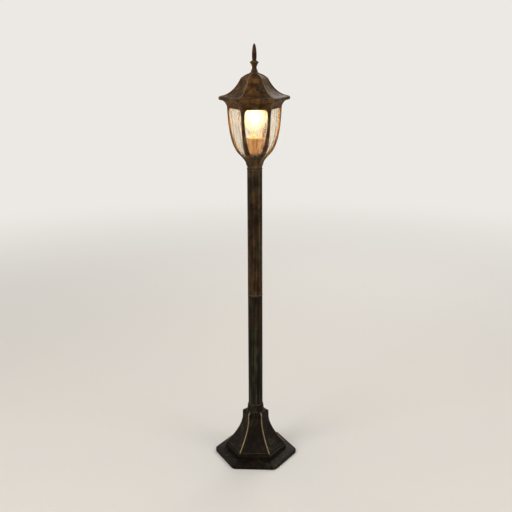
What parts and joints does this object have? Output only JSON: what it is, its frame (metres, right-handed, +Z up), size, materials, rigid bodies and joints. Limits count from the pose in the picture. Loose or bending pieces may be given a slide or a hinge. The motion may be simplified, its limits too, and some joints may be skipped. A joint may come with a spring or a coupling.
{
  "type": "lantern floor lamp",
  "caption": "Hexagonal glazed lantern with a flared roof and spear finial, on a slim round pole with a hexagonal bell-shaped base.",
  "frame": {"origin": "on the floor, at the centre of the base, on the pole's axis", "axes": "+Z up along the pole, the base's front flat faces -Y, +X to the right seen from the front"},
  "size_m": [0.2116, 0.1868, 1.05],
  "materials": {
    "bronze_casting": "cast, painted dark and brushed over with antique bronze, worn at the edges",
    "bronze_tube": "tube, painted dark and brushed over along its length with antique bronze",
    "zinc_steel": "zinc plated",
    "keeper_steel": "painted dark",
    "lantern_glass": "clear, rippled on its inner face",
    "bulb_clear_glass": "clear and thin",
    "bulb_cap_metal": "bright, rolled thread",
    "contact_brass": "bright",
    "black_insulator": "black vitrified glass",
    "filament_warm": "coated straight filaments that glow",
    "support_wire": "drawn wire",
    "holder_ceramic": "brown glazed ceramic",
    "seal_rubber": "moulded, black",
    "lead_sheath": "round rubber sheath",
    "earth_sheath": "green and yellow",
    "block_plastic": "moulded, pale"
  },
  "bodies": {
    "stand": {"base_casting": "bronze_casting", "lantern_cage": "bronze_casting", "pole_lower": "bronze_tube", "pole_upper": "bronze_tube", "pole_coupling": "bronze_tube", "neck_ring": "bronze_tube", "tie_tube": "zinc_steel", "tie_washer": "zinc_steel", "tie_nut": "zinc_steel", "cage_washer": "zinc_steel", "cage_nut": "zinc_steel", "holder_nut": "zinc_steel", "roof_grub_screws": "zinc_steel", "terminal_block_screws": "zinc_steel", "earth_screw": "zinc_steel", "glass_keeper": "keeper_steel", "glass_pane_1": "lantern_glass", "glass_pane_2": "lantern_glass", "glass_pane_3": "lantern_glass", "glass_pane_4": "lantern_glass", "glass_pane_5": "lantern_glass", "glass_pane_6": "lantern_glass", "lampholder_shell": "contact_brass", "lampholder_contact": "contact_brass", "lampholder_screws": "contact_brass", "earth_lug": "contact_brass", "lampholder_body": "holder_ceramic", "roof_seal": "seal_rubber", "tube_bush": "seal_rubber", "internal_lead": "lead_sheath", "earth_lead": "earth_sheath", "terminal_block": "block_plastic"},
    "roof": {"roof_casting": "bronze_casting", "finial": "bronze_casting", "finial_washer": "zinc_steel", "finial_nut": "zinc_steel"},
    "bulb_tip": {"bulb_contact": "contact_brass"},
    "bulb": {"bulb_insulator": "black_insulator", "bulb_cap": "bulb_cap_metal", "bulb_glass": "bulb_clear_glass", "bulb_stem": "bulb_clear_glass", "bulb_filaments": "filament_warm", "bulb_supports": "support_wire"}
  },
  "joints": [
    {"name": "roof_lift", "type": "slide", "parent": "stand", "child": "roof", "axis": [0, 0, 1], "range_m": [0, 0.15]},
    {"name": "bulb_rise", "type": "slide", "parent": "stand", "child": "bulb_tip", "axis": [0, 0, 1], "range_m": [0, 0.0146]},
    {"name": "bulb_turn", "type": "hinge", "parent": "bulb_tip", "child": "bulb", "pos_m": [0, 0, 0.8161], "axis": [0, 0, 1], "range_deg": [0, 1440]}
  ],
  "couplings": [
    {"joint": "bulb_rise", "follows": "bulb_turn", "m_per_rad": 0.00057757}
  ]
}
